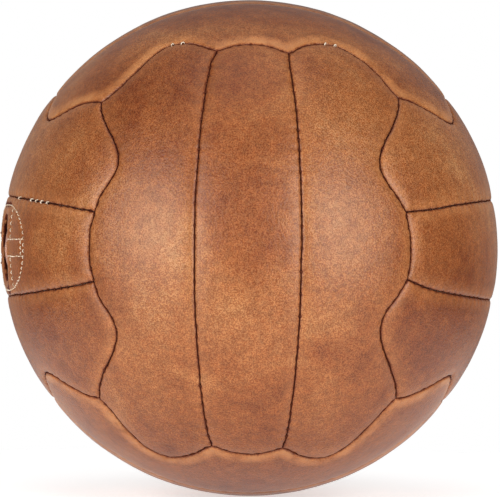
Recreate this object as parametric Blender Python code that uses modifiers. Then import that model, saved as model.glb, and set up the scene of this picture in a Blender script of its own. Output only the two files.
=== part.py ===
"""A leather medicine ball: eighteen sewn panels round a soft filling and a sand weight.

The cover is a cube blown up into a ball. Each of its six faces is three strips of leather
side by side, and the strips of one face run across those of its neighbours, so a strip's
ends are sewn to the long side of a neighbour's outer strip. Every panel has its edges
turned in, and the thread lies in the groove between two edges. One panel has the mouth,
an oval slot that the filling went in through, closed by a padded tongue.

Metres, +Z up, origin at the ball's centre. The front is -Y and the mouth is on the -X side.
"""

import math

import bmesh
import bpy
import numpy as np

# ---- Driving dimensions, in metres ----
BALL_RADIUS = 0.140
LEATHER = 0.0022            # thickness of a panel
SEAM_GAP = 0.0005           # between the turned edges of two panels
EDGE_ROLL = 0.0030          # how far from a seam the leather starts to turn in
GROOVE_HALF = 0.0008        # half the groove's width where the thread lies
GROOVE_DEPTH = 0.0014
FLANGE_DEPTH = 0.0070       # how deep the turned edge reaches
THREAD_RADIUS = 0.00045
THREAD_DEPTH = 0.0012
THREAD_END_GAP = 0.0018     # a thread stops this far from the seam it meets
CANVAS = 0.0008
CANVAS_DEPTH = 0.0043
CANVAS_INSET = 0.0085       # from the seam to the edge of a panel's canvas lining
WADDING_DEPTH = 0.0098

# ---- The seam pattern, in degrees ----
# A seam along a cube edge belongs to the face whose strips run beside it. "along" is the
# angle along that face's strips, and "aside" the angle from the face's middle to the seam.
CORNER_ALONG = math.degrees(math.asin(1 / math.sqrt(3)))
CORNER_ASIDE = 45.0
JUNCTION_ALONG = 8.0        # where the neighbour's strip seam runs into this seam
JUNCTION_ASIDE = 38.2
APEX_ALONG = 18.5           # the rounded point where an outer strip is widest
APEX_ASIDE = 32.0
MIDDLE_ASIDE = 37.6
# Each arc goes from one (along, aside, slope) to the next.
EDGE_ARCS = (
    ((0.0, MIDDLE_ASIDE, 0.0), (JUNCTION_ALONG, JUNCTION_ASIDE, 0.1)),
    ((JUNCTION_ALONG, JUNCTION_ASIDE, -0.6), (APEX_ALONG, APEX_ASIDE, 0.0)),
    ((APEX_ALONG, APEX_ASIDE, 0.0), (CORNER_ALONG, CORNER_ASIDE, 0.5)),
)
STRIP_SEAM_ASIDE = 11.7     # half the width of a middle strip, at its middle
CORNER_STATIONS = (JUNCTION_ALONG, 13.0, APEX_ALONG, 27.0, CORNER_ALONG)
MIDDLE_STATIONS = (0.0, JUNCTION_ALONG / 2)

# Hand sewing pulls the leather off the true pattern. Each drift moves the pattern round a
# direction on the ball: (x, y, z) of the direction, (x, y, z) of the pull in degrees, and
# how many degrees away it fades.
DRIFTS = (
    ((-0.43, -0.55, 0.72), (0.0, -2.1, -2.2), 12.0),
    ((-0.42, -0.55, -0.72), (0.0, 2.1, -2.3), 11.0),
    ((0.49, -0.56, 0.67), (0.0, 1.7, 1.4), 8.0),
    ((0.27, -0.53, 0.81), (0.0, -0.9, -0.6), 8.0),
    ((0.28, -0.58, -0.76), (0.0, 1.0, -0.9), 14.0),
    ((0.52, -0.80, -0.30), (0.0, 0.3, 2.0), 10.0),
    ((0.62, -0.78, 0.0), (0.7, 0.55, 0.0), 8.0),
    ((-0.139, -0.612, 0.778), (0.63, -0.75, -0.60), 3.2),
    ((0.139, -0.612, 0.778), (0.60, -1.10, -0.83), 3.2),
    ((-0.139, -0.612, -0.778), (0.12, -1.05, 0.78), 3.2),
    ((0.139, -0.612, -0.778), (0.05, -1.06, 0.82), 3.2),
    ((0.0, -0.565, -0.825), (0.0, 0.6, -0.4), 6.0),
    ((-0.612, -0.778, 0.139), (1.14, -0.94, -0.18), 3.2),
    ((-0.612, -0.778, -0.139), (1.07, -0.88, 0.35), 3.2),
    ((0.612, -0.778, 0.139), (-0.68, -0.58, 0.30), 3.2),
    ((0.612, -0.778, -0.139), (-0.56, -0.45, 0.70), 3.2),
)

# ---- The mouth, on the middle strip of the left (-X) side ----
MOUTH_FORWARD = 13.3        # degrees from the middle of that side towards the front
MOUTH_UP = -0.35
SLOT_AXES = (0.0090, 0.0185)        # half sizes: along the strip, across the strip
OVAL_AXES = (0.0370, 0.0232)        # the oval line of stitching round the mouth
PATCH_AXES = (0.0385, 0.0236)       # the leather patch behind the mouth
PATCH_DEPTH = 0.0041
PATCH_THICKNESS = 0.0016
TONGUE_AXES = (0.0180, 0.0230)
TONGUE_PAD_AXES = (0.0074, 0.0168)
TONGUE_DEPTH = 0.0063
TONGUE_THICKNESS = 0.0016
TONGUE_CROWN_DEPTH = 0.0006         # top of the padded part, just under the ball's surface
PAD_TOP_SHARE = 0.62                # the padded part is nearly flat over this share of it
PAD_TOP_FALL = 0.0003
PAD_SHOULDER_FALL = 0.0018
PAD_FLARE = 0.0005                  # its foot is wider than its shoulder by this, all round
BAR_HALF_GAP = 0.0047               # the stitched bars lie this far above and below the middle
SIDE_LINE = 0.0160                  # the short cross lines lie this far from the slot's middle
STITCH_LIFT = 0.0008                # centre of the surface thread above the leather
BAR_START = 0.0112                  # where a bar begins, from the slot's middle
OVAL_POINTS = 40
BAR_POINTS = 4
CROSS_POINTS = 3
MOUTH_SEGMENTS = 32
CUTTER_HEIGHT = 0.030

# ---- The filling and the weight ----
BAG_RADIUS = 0.048
BAG_CLOTH = 0.0010
BAG_NECK_RADIUS = 0.007
BAG_TOP = 0.064
SAND_GAP = 0.0018
CORE_GAP = 0.0025           # between the bag and the wadding
WADDING_SPLIT = 0.00015     # half the gap between the wadding's two halves
TIE_RADIUS = 0.0015
TIE_SEGMENTS = (20, 6)
TURN_STEPS = 20
WADDING_POINTS = 10
HOLLOW_POINTS = 8
BAG_POINTS = 9

SHARP_ANGLE = math.radians(40)
WELD_DISTANCE = 0.000001
AXIS_WELD_DISTANCE = 0.00005

UP = 1
DOWN = -1
FACES = (
    ("front", 0, -1), ("back", 0, 1),
    ("bottom", 1, -1), ("top", 1, 1),
    ("left", 2, -1), ("right", 2, 1),
)
# The strips of a face, by the sign of their place across it.
STRIPS = (
    {-1: "left", 0: "middle", 1: "right"},
    {-1: "front", 0: "middle", 1: "rear"},
    {-1: "lower", 0: "middle", 1: "upper"},
)
MOUTH_PANEL = "left_middle"
MOUTH_LINING_START = 7      # the row of that panel's grid where its canvas begins


# ---- Scene helpers ----

def clear_scene():
    for thing in list(bpy.data.objects):
        bpy.data.objects.remove(thing, do_unlink=True)


def new_collection(name):
    collection = bpy.data.collections.new(name)
    bpy.context.scene.collection.children.link(collection)
    return collection


def make_material(name, colour, roughness):
    material = bpy.data.materials.new(name)
    material.use_nodes = True
    shader = material.node_tree.nodes["Principled BSDF"]
    shader.inputs["Base Color"].default_value = (*colour, 1.0)
    shader.inputs["Roughness"].default_value = roughness
    shader.inputs["Metallic"].default_value = 0.0
    return material


def object_from_bmesh(name, bm, material, collection):
    mesh = bpy.data.meshes.new(name)
    bm.to_mesh(mesh)
    bm.free()
    mesh.materials.append(material)
    mesh.shade_smooth()
    mesh.set_sharp_from_angle(angle=SHARP_ANGLE)
    thing = bpy.data.objects.new(name, mesh)
    collection.objects.link(thing)
    return thing


def add_solidify(thing, thickness):
    """Give an open surface its thickness, inward from the surface."""
    solidify = thing.modifiers.new("Thickness", "SOLIDIFY")
    solidify.thickness = thickness
    solidify.offset = -1.0


# ---- The seam pattern ----

def unit(vectors):
    return vectors / np.linalg.norm(vectors, axis=-1, keepdims=True)


def drifted(directions):
    """Pull directions off the true pattern, a little and smoothly."""
    moved = directions.copy()
    for centre, pull, reach in DRIFTS:
        angle = np.degrees(np.arccos(np.clip(directions @ unit(np.array(centre)), -1, 1)))
        fade = np.exp(-(angle / reach) ** 2)
        moved += fade[..., None] * np.radians(pull)
    return unit(moved)


def hermite(x, start, end):
    """Cubic from one (x, y, slope) to the next."""
    x0, y0, s0 = start
    x1, y1, s1 = end
    span = x1 - x0
    t = (x - x0) / span
    rise = t * t * (3 - 2 * t)
    return y0 + (y1 - y0) * rise + span * (s0 * t * (1 - t) ** 2 - s1 * t * t * (1 - t))


def edge_aside(along):
    """Angle aside of a cube-edge seam, at an angle along it."""
    distance = abs(along)
    for start, end in EDGE_ARCS:
        if distance <= end[0]:
            return hermite(distance, start, end)
    return CORNER_ASIDE


def on_face(axis, side, across, along, aside):
    """Direction of a point on a face: axis 0 is front and back, 1 top and bottom, 2 left and right."""
    along = math.radians(along)
    aside = math.radians(aside)
    local = np.array((
        across * math.sin(aside) * math.cos(along),
        side * math.cos(aside) * math.cos(along),
        math.sin(along),
    ))
    return np.roll(local, axis)


def edge_seam(axis, side, across, stations):
    """The seam along a cube edge, on the face whose strips run beside it."""
    points = [on_face(axis, side, across, along, edge_aside(along)) for along in stations]
    return drifted(np.array(points))


def strip_seam(axis, side, across, count):
    """The seam between a face's middle strip and one of its outer strips."""
    junction = on_face((axis + 1) % 3, UP, UP, JUNCTION_ALONG, JUNCTION_ASIDE)
    lateral, normal, strip = np.roll(junction, -axis)
    end_along = math.degrees(math.asin(strip))
    end_aside = math.degrees(math.atan2(lateral, normal))
    points = []
    for along in np.linspace(-end_along, end_along, count):
        widening = (end_aside - STRIP_SEAM_ASIDE) * (along / end_along) ** 2
        points.append(on_face(axis, side, across, along, STRIP_SEAM_ASIDE + widening))
    return drifted(np.array(points))


def long_stations():
    """Stations from corner to corner of a cube edge."""
    half = (*MIDDLE_STATIONS, *CORNER_STATIONS)
    return [-along for along in half[:0:-1]] + list(half)


def panel_sides(axis, side, across):
    """A panel's four seams: its two ends, then its two long sides."""
    count = len(long_stations())
    if across == 0:
        ends_at = [-JUNCTION_ALONG, -JUNCTION_ALONG / 2, 0.0, JUNCTION_ALONG / 2, JUNCTION_ALONG]
        near = strip_seam(axis, side, DOWN, count)
        far = strip_seam(axis, side, UP, count)
    else:
        ends_at = [across * along for along in CORNER_STATIONS]
        near = strip_seam(axis, side, across, count)
        far = edge_seam(axis, side, across, long_stations())
    neighbour = (axis + 1) % 3
    low = edge_seam(neighbour, DOWN, side, ends_at)
    high = edge_seam(neighbour, UP, side, ends_at)
    return low, high, near, far


def inward(line, middle):
    """Directions over the sphere, square to a seam, towards the panel's middle."""
    square = unit(np.cross(line, np.gradient(line, axis=0)))
    centre = len(line) // 2
    if np.dot(square[centre], middle - line[centre]) < 0:
        square = -square
    return square


def inset(sides, distance):
    """Move a panel's sides inward over the sphere, with mitred corners."""
    low, high, near, far = sides
    middle = unit(near.mean(axis=0) + far.mean(axis=0))
    low_in, high_in, near_in, far_in = (inward(line, middle) for line in sides)
    for ends, longs, end_at, long_at in (
        (low_in, near_in, 0, 0), (low_in, far_in, -1, 0),
        (high_in, near_in, 0, -1), (high_in, far_in, -1, -1),
    ):
        first = ends[end_at]
        second = longs[long_at]
        mitre = (first + second) / (1 + np.dot(first, second))
        ends[end_at] = mitre
        longs[long_at] = mitre
    step = distance / BALL_RADIUS
    return (
        unit(low + step * low_in), unit(high + step * high_in),
        unit(near + step * near_in), unit(far + step * far_in),
    )


def coons(sides):
    """Fill four sides with a smooth patch of directions."""
    low, high, near, far = sides
    u = np.linspace(0, 1, len(low))[:, None, None]
    v = np.linspace(0, 1, len(near))[None, :, None]
    across = (1 - u) * near[None] + u * far[None]
    along = (1 - v) * low[:, None] + v * high[:, None]
    corners = (
        (1 - u) * (1 - v) * low[0] + u * (1 - v) * low[-1]
        + (1 - u) * v * high[0] + u * v * high[-1]
    )
    return unit(across + along - corners)


# ---- Panels and their canvas ----

def grid_over(rings):
    """A grid surface over a patch, with a skirt for each further ring (patch, radius)."""
    columns, rows = rings[0][0].shape[:2]
    bm = bmesh.new()
    bmesh.ops.create_grid(bm, x_segments=columns - 1, y_segments=rows - 1, size=0.5)
    rim = [edge for edge in bm.edges if edge.is_boundary]
    for ring in range(1, len(rings)):
        made = bmesh.ops.extrude_edge_only(bm, edges=rim)["geom"]
        skirt = {item for item in made if isinstance(item, bmesh.types.BMVert)}
        rim = [
            item for item in made
            if isinstance(item, bmesh.types.BMEdge) and skirt.issuperset(item.verts)
        ]
        for vert in skirt:
            vert.co.z = ring
    for vert in bm.verts:
        patch, radius = rings[round(vert.co.z)]
        column = round((vert.co.x + 0.5) * (columns - 1))
        row = round((vert.co.y + 0.5) * (rows - 1))
        vert.co = patch[column, row] * radius
    bm.normal_update()
    bmesh.ops.recalc_face_normals(bm, faces=bm.faces)
    bm.faces.ensure_lookup_table()
    middle = bm.faces[len(rings[0][0]) // 2]
    if middle.normal.dot(middle.calc_center_median()) < 0:
        bmesh.ops.reverse_faces(bm, faces=bm.faces)
    return bm


def make_panel(name, sides, material, collection):
    rings = (
        (coons(inset(sides, EDGE_ROLL)), BALL_RADIUS),
        (coons(inset(sides, GROOVE_HALF)), BALL_RADIUS - GROOVE_DEPTH),
        (coons(inset(sides, SEAM_GAP / 2)), BALL_RADIUS - FLANGE_DEPTH),
    )
    panel = object_from_bmesh(f"{name}_panel", grid_over(rings), material, collection)
    add_solidify(panel, LEATHER)
    return panel


def make_lining(name, sides, material, collection):
    if name == MOUTH_PANEL:
        # The canvas stops behind the mouth's own leather patch.
        patch = coons(inset(sides, CANVAS_INSET))[:, MOUTH_LINING_START:]
    else:
        low, high, near, far = sides
        patch = coons(inset((low, high, near[::2], far[::2]), CANVAS_INSET))
    bm = grid_over(((patch, BALL_RADIUS - CANVAS_DEPTH),))
    lining = object_from_bmesh(f"{name}_lining", bm, material, collection)
    add_solidify(lining, CANVAS)


# ---- Threads ----

def make_thread(name, line, material, collection, closed=False):
    """A tube along a line of points."""
    curve = bpy.data.curves.new(name, "CURVE")
    curve.dimensions = "3D"
    curve.bevel_depth = THREAD_RADIUS
    curve.bevel_resolution = 0
    curve.use_fill_caps = True
    curve.materials.append(material)
    spline = curve.splines.new("POLY")
    spline.points.add(len(line) - 1)
    for point, place in zip(spline.points, line):
        point.co = (*place, 1.0)
    spline.use_cyclic_u = closed
    thread = bpy.data.objects.new(name, curve)
    collection.objects.link(thread)
    return thread


def as_mesh(thing):
    """Replace a curve object by a mesh object of the same name, with its caps welded on."""
    bpy.context.view_layer.update()
    evaluated = thing.evaluated_get(bpy.context.evaluated_depsgraph_get())
    mesh = bpy.data.meshes.new_from_object(evaluated)
    bm = bmesh.new()
    bm.from_mesh(mesh)
    bmesh.ops.remove_doubles(bm, verts=bm.verts, dist=WELD_DISTANCE)
    bm.to_mesh(mesh)
    bm.free()
    name = thing.name
    collection = thing.users_collection[0]
    place = thing.matrix_world.copy()
    bpy.data.objects.remove(thing, do_unlink=True)
    solid = bpy.data.objects.new(name, mesh)
    solid.matrix_world = place
    collection.objects.link(solid)
    return solid


def trimmed(line):
    """A line with both its ends drawn back by the thread's end gap."""
    line = line.copy()
    for end, beside in ((0, 1), (-1, -2)):
        step = line[beside] - line[end]
        line[end] += step * (THREAD_END_GAP / np.linalg.norm(step))
    return line


def corner_name(corner):
    x, y, z = corner
    return "_".join((
        "top" if z > 0 else "bottom",
        "back" if y > 0 else "front",
        "right" if x > 0 else "left",
    ))


def edge_thread_line(corner):
    """Three cube edges in a row, along X, Y and Z in turn, from a corner to the one opposite."""
    corner = list(corner)
    stations = long_stations()
    line = []
    for strip in range(3):
        axis = (strip + 1) % 3
        seam = edge_seam(axis, corner[(axis + 1) % 3], corner[axis], stations)
        if corner[strip] == UP:
            seam = seam[::-1]
        line += list(seam[1:] if line else seam)
        corner[strip] = -corner[strip]
    return np.array(line)


def make_seam_threads(material, collection):
    depth = BALL_RADIUS - THREAD_DEPTH
    # Four threads cover the twelve cube edges: each starts at one of four alternate corners.
    for corner in ((UP, UP, UP), (UP, DOWN, DOWN), (DOWN, UP, DOWN), (DOWN, DOWN, UP)):
        name = f"edge_thread_{corner_name(corner)}"
        make_thread(name, trimmed(edge_thread_line(corner) * depth), material, collection)
    count = len(long_stations())
    for face, axis, side in FACES:
        for across in (DOWN, UP):
            name = f"strip_thread_{face}_{STRIPS[axis][across]}"
            line = trimmed(strip_seam(axis, side, across, count) * depth)
            make_thread(name, line, material, collection)


# ---- The mouth ----

def mouth_axes():
    """Unit vectors at the mouth: outward, forward along the strip, and up across it."""
    forward_angle = math.radians(MOUTH_FORWARD)
    up_angle = math.radians(MOUTH_UP)
    outward = np.array((
        -math.cos(forward_angle) * math.cos(up_angle),
        -math.sin(forward_angle) * math.cos(up_angle),
        math.sin(up_angle),
    ))
    forward = unit(np.cross((0.0, 0.0, 1.0), outward))
    upward = np.cross(outward, forward)
    return outward, forward, upward


def at_mouth(forward_by, up_by, radius):
    """A point on the ball, by its distances from the mouth's middle over the surface."""
    outward, forward, upward = mouth_axes()
    distance = math.hypot(forward_by, up_by)
    if distance == 0:
        return outward * radius
    angle = distance / BALL_RADIUS
    heading = (forward * forward_by + upward * up_by) / distance
    return (outward * math.cos(angle) + heading * math.sin(angle)) * radius


def mouth_rings(name, rings, thickness, material, collection):
    """A shell from ellipse to ellipse round the mouth; rings are (half sizes, depth)."""
    bm = bmesh.new()
    bmesh.ops.create_grid(bm, x_segments=MOUTH_SEGMENTS, y_segments=len(rings) - 1, size=0.5)
    for vert in bm.verts:
        turn = (vert.co.x + 0.5) * 2 * math.pi
        (half_along, half_across), depth = rings[round((vert.co.y + 0.5) * (len(rings) - 1))]
        vert.co = at_mouth(
            half_along * math.cos(turn), half_across * math.sin(turn), BALL_RADIUS - depth)
    bmesh.ops.remove_doubles(bm, verts=bm.verts, dist=WELD_DISTANCE)
    bm.normal_update()
    bmesh.ops.recalc_face_normals(bm, faces=bm.faces)
    bm.faces.ensure_lookup_table()
    outer = max(bm.faces, key=lambda face: face.calc_center_median().length)
    if outer.normal.dot(outer.calc_center_median()) < 0:
        bmesh.ops.reverse_faces(bm, faces=bm.faces)
    shell = object_from_bmesh(name, bm, material, collection)
    add_solidify(shell, thickness)


def mouth_cutter(name, half_sizes, collection):
    """An elliptic plug that stands through the cover at the mouth."""
    bm = bmesh.new()
    bmesh.ops.create_cone(
        bm, cap_ends=True, segments=MOUTH_SEGMENTS, radius1=1.0, radius2=1.0, depth=CUTTER_HEIGHT)
    outward, forward, upward = mouth_axes()
    for vert in bm.verts:
        place = forward * vert.co.x * half_sizes[0] + upward * vert.co.y * half_sizes[1]
        vert.co = outward * (BALL_RADIUS + vert.co.z) + place
    mesh = bpy.data.meshes.new(name)
    bm.to_mesh(mesh)
    bm.free()
    cutter = bpy.data.objects.new(name, mesh)
    cutter.hide_render = True
    cutter.display_type = "WIRE"
    collection.objects.link(cutter)
    return cutter


def cut_with(thing, cutter):
    cut = thing.modifiers.new("Cut", "BOOLEAN")
    cut.operation = "DIFFERENCE"
    cut.object = cutter


def make_mouth(materials, collection, cutters):
    middle_axes = tuple((outer + inner) / 2 for outer, inner in zip(PATCH_AXES, SLOT_AXES))
    mouth_rings(
        "mouth_patch",
        ((PATCH_AXES, PATCH_DEPTH), (middle_axes, PATCH_DEPTH), (SLOT_AXES, PATCH_DEPTH)),
        PATCH_THICKNESS, materials["tongue"], collection)
    pad_foot = tuple(half + PAD_FLARE for half in TONGUE_PAD_AXES)
    pad_top = tuple(half * PAD_TOP_SHARE for half in TONGUE_PAD_AXES)
    mouth_rings(
        "mouth_tongue",
        (
            ((0.0, 0.0), TONGUE_CROWN_DEPTH),
            (pad_top, TONGUE_CROWN_DEPTH + PAD_TOP_FALL),
            (TONGUE_PAD_AXES, TONGUE_CROWN_DEPTH + PAD_SHOULDER_FALL),
            (pad_foot, TONGUE_DEPTH),
            (TONGUE_AXES, TONGUE_DEPTH),
        ),
        TONGUE_THICKNESS, materials["tongue"], collection)
    make_mouth_stitching(materials["stitching"], collection, cutters)


def make_mouth_stitching(material, collection, cutters):
    """The oval round the mouth, with four bars and four short cross lines joined to it."""
    lift = BALL_RADIUS + STITCH_LIFT
    half_along, half_across = OVAL_AXES
    oval = [
        at_mouth(half_along * math.cos(turn), half_across * math.sin(turn), lift)
        for turn in np.linspace(0, 2 * math.pi, OVAL_POINTS, endpoint=False)
    ]
    ring = as_mesh(make_thread("mouth_stitching", oval, material, collection, closed=True))
    bar_end = half_along * math.sqrt(1 - (BAR_HALF_GAP / half_across) ** 2)
    cross_end = half_across * math.sqrt(1 - (SIDE_LINE / half_along) ** 2)
    joined = bpy.data.collections.new("mouth_bars")
    cutters.children.link(joined)
    for forward in (DOWN, UP):
        for up in (DOWN, UP):
            bar = [
                at_mouth(forward * reach, up * BAR_HALF_GAP, lift)
                for reach in np.linspace(BAR_START, bar_end, BAR_POINTS)
            ]
            cross = [
                at_mouth(forward * SIDE_LINE, up * reach, lift)
                for reach in np.linspace(BAR_HALF_GAP, cross_end, CROSS_POINTS)
            ]
            for line in (bar, cross):
                piece = as_mesh(make_thread("mouth_bar", line, material, joined))
                piece.hide_render = True
                piece.display_type = "WIRE"
    union = ring.modifiers.new("Join", "BOOLEAN")
    union.operation = "UNION"
    union.operand_type = "COLLECTION"
    union.collection = joined


# ---- The filling and the weight ----

def make_turned(name, profile, material, collection, closed):
    """Turn a profile of (radius, height) points round Z."""
    mesh = bpy.data.meshes.new(name)
    count = len(profile)
    edges = [(index, index + 1) for index in range(count - 1)]
    if closed:
        edges.append((count - 1, 0))
    mesh.from_pydata([(radius, 0.0, height) for radius, height in profile], edges, [])
    mesh.materials.append(material)
    thing = bpy.data.objects.new(name, mesh)
    collection.objects.link(thing)
    screw = thing.modifiers.new("Turn", "SCREW")
    screw.steps = TURN_STEPS
    screw.render_steps = TURN_STEPS
    screw.use_merge_vertices = True
    screw.merge_threshold = AXIS_WELD_DISTANCE


def arc(radius, start, end, count):
    """Points (radius, height) on a circle round the origin, from angle to angle above the floor."""
    angles = np.radians(np.linspace(start, end, count))
    return [(max(radius * math.cos(a), 0.0), radius * math.sin(a)) for a in angles]


def make_filling(materials, collection):
    neck_angle = math.degrees(math.acos(BAG_NECK_RADIUS / BAG_RADIUS))
    outer = BALL_RADIUS - WADDING_DEPTH
    cavity = BAG_RADIUS + CORE_GAP
    chimney = BAG_NECK_RADIUS + 2 * TIE_RADIUS + CORE_GAP
    chimney_angle = math.degrees(math.acos(chimney / cavity))
    upper = arc(outer, 90, 0, WADDING_POINTS)
    upper[-1] = (outer, WADDING_SPLIT)
    hollow = arc(cavity, 0, chimney_angle, HOLLOW_POINTS)
    hollow[0] = (cavity, WADDING_SPLIT)
    roof = BAG_TOP + CORE_GAP
    make_turned(
        "wadding_upper", upper + hollow + [(chimney, roof), (0.0, roof)],
        materials["wadding"], collection, closed=False)
    lower = arc(outer, 0, -90, WADDING_POINTS)
    lower[0] = (outer, -WADDING_SPLIT)
    hollow = arc(cavity, -90, 0, HOLLOW_POINTS)
    hollow[-1] = (cavity, -WADDING_SPLIT)
    make_turned(
        "wadding_lower", hollow + lower, materials["wadding"], collection, closed=False)

    inner = BAG_RADIUS - BAG_CLOTH
    neck_inner = BAG_NECK_RADIUS - BAG_CLOTH
    inner_angle = math.degrees(math.acos(neck_inner / inner))
    outside = [(BAG_NECK_RADIUS, BAG_TOP)] + arc(BAG_RADIUS, neck_angle, -90, BAG_POINTS)
    inside = arc(inner, -90, inner_angle, BAG_POINTS) + [(neck_inner, BAG_TOP)]
    make_turned(
        "weight_bag", outside + inside, materials["bag"], collection, closed=True)
    make_turned(
        "sand_fill", arc(inner - SAND_GAP, 90, -90, WADDING_POINTS), materials["sand"],
        collection, closed=False)
    tie_height = BAG_RADIUS + (BAG_TOP - BAG_RADIUS) / 2
    bpy.ops.mesh.primitive_torus_add(
        location=(0.0, 0.0, tie_height),
        major_segments=TIE_SEGMENTS[0], minor_segments=TIE_SEGMENTS[1],
        major_radius=BAG_NECK_RADIUS + TIE_RADIUS + SEAM_GAP, minor_radius=TIE_RADIUS)
    tie = bpy.context.object
    tie.name = "bag_tie"
    tie.data.materials.append(materials["tie"])
    tie.data.shade_smooth()
    for holder in list(tie.users_collection):
        holder.objects.unlink(tie)
    collection.objects.link(tie)


def main():
    clear_scene()
    ball = new_collection("medicine_ball")
    cutters = new_collection("cutters")
    materials = {
        "panel": make_material("tan_leather", (0.46, 0.17, 0.06), 0.45),
        "tongue": make_material("tongue_leather", (0.52, 0.30, 0.19), 0.55),
        "lining": make_material("cotton_canvas", (0.66, 0.57, 0.42), 0.9),
        "thread": make_material("brown_waxed_thread", (0.10, 0.045, 0.025), 0.7),
        "stitching": make_material("cream_linen_thread", (0.78, 0.68, 0.52), 0.7),
        "wadding": make_material("kapok_wadding", (0.74, 0.68, 0.55), 1.0),
        "bag": make_material("canvas_bag_cloth", (0.55, 0.50, 0.40), 0.9),
        "sand": make_material("dry_sand", (0.62, 0.50, 0.33), 1.0),
        "tie": make_material("hemp_cord", (0.50, 0.38, 0.22), 0.85),
    }
    slot = mouth_cutter("slot_cutter", SLOT_AXES, cutters)
    for face, axis, side in FACES:
        for across, strip in STRIPS[axis].items():
            name = f"{face}_{strip}"
            sides = panel_sides(axis, side, across)
            panel = make_panel(name, sides, materials["panel"], ball)
            make_lining(name, sides, materials["lining"], ball)
            if name == MOUTH_PANEL:
                cut_with(panel, slot)
    make_seam_threads(materials["thread"], ball)
    make_mouth(materials, ball, cutters)
    make_filling(materials, ball)


main()
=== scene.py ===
"""The looks of a leather medicine ball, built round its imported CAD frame.

Eighteen leather panels with turned and sewn edges, the threads that hold them, and the mouth
with its padded tongue and cream stitching. The seam pattern is the CAD's, sampled finely.
Metres, +Z up, origin at the ball's centre; the front is -Y and the mouth is on the -X side.
"""

import math

import bmesh
import bpy
import numpy as np
from mathutils import Matrix, Vector, noise


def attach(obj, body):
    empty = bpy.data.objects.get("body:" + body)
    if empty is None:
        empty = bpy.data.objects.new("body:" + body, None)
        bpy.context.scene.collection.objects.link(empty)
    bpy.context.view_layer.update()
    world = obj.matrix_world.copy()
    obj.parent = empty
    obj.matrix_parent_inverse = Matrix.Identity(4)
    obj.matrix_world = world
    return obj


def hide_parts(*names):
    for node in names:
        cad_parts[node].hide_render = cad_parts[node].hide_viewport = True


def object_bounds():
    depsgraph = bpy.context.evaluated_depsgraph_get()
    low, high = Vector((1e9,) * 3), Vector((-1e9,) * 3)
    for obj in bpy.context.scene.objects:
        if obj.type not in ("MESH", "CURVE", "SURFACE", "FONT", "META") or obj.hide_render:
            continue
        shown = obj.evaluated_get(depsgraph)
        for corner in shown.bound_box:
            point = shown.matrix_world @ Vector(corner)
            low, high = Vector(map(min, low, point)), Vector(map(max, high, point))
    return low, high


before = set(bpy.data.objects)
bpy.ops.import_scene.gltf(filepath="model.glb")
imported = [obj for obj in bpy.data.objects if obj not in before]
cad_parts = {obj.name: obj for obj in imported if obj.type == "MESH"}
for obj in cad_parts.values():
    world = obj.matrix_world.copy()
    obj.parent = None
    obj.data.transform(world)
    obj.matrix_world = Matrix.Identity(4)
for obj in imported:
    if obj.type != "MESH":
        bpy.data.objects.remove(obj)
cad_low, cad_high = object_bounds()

MM = 0.001
BALL_RADIUS = (cad_high.z - cad_low.z) / 2

# ---- The seam pattern, in degrees: the CAD's own ----
# A seam along a cube edge belongs to the face whose strips run beside it. "along" is the
# angle along that face's strips, and "aside" the angle from the face's middle to the seam.
CORNER_ALONG = math.degrees(math.asin(1 / math.sqrt(3)))
CORNER_ASIDE = 45.0
JUNCTION_ALONG = 8.0  # where the neighbour's strip seam runs into this seam
JUNCTION_ASIDE = 38.2
APEX_ALONG = 18.5  # the rounded point where an outer strip is widest
APEX_ASIDE = 32.0
MIDDLE_ASIDE = 37.6
# Each arc goes from one (along, aside, slope) to the next.
EDGE_ARCS = (
    ((0.0, MIDDLE_ASIDE, 0.0), (JUNCTION_ALONG, JUNCTION_ASIDE, 0.1)),
    ((JUNCTION_ALONG, JUNCTION_ASIDE, -0.6), (APEX_ALONG, APEX_ASIDE, 0.0)),
    ((APEX_ALONG, APEX_ASIDE, 0.0), (CORNER_ALONG, CORNER_ASIDE, 0.5)),
)
STRIP_SEAM_ASIDE = 11.7  # half the width of a middle strip, at its middle
CORNER_STATIONS = (JUNCTION_ALONG, 13.0, APEX_ALONG, 27.0, CORNER_ALONG)
HALF_STATIONS = (0.0, JUNCTION_ALONG / 2, *CORNER_STATIONS)

# Hand sewing pulls the leather off the true pattern. Each drift moves the pattern round a
# direction on the ball: (x, y, z) of the direction, (x, y, z) of the pull in degrees, and
# how many degrees away it fades.
DRIFTS = (
    ((-0.43, -0.55, 0.72), (0.0, -2.1, -2.2), 12.0),
    ((-0.42, -0.55, -0.72), (0.0, 2.1, -2.3), 11.0),
    ((0.49, -0.56, 0.67), (0.0, 1.7, 1.4), 8.0),
    ((0.27, -0.53, 0.81), (0.0, -0.9, -0.6), 8.0),
    ((0.28, -0.58, -0.76), (0.0, 1.0, -0.9), 14.0),
    ((0.52, -0.80, -0.30), (0.0, 0.3, 2.0), 10.0),
    ((0.62, -0.78, 0.0), (0.7, 0.55, 0.0), 8.0),
    ((-0.139, -0.612, 0.778), (0.63, -0.75, -0.60), 3.2),
    ((0.139, -0.612, 0.778), (0.60, -1.10, -0.83), 3.2),
    ((-0.139, -0.612, -0.778), (0.12, -1.05, 0.78), 3.2),
    ((0.139, -0.612, -0.778), (0.05, -1.06, 0.82), 3.2),
    ((0.0, -0.565, -0.825), (0.0, 0.6, -0.4), 6.0),
    ((-0.612, -0.778, 0.139), (1.14, -0.94, -0.18), 3.2),
    ((-0.612, -0.778, -0.139), (1.07, -0.88, 0.35), 3.2),
    ((0.612, -0.778, 0.139), (-0.68, -0.58, 0.30), 3.2),
    ((0.612, -0.778, -0.139), (-0.56, -0.45, 0.70), 3.2),
)

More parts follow.
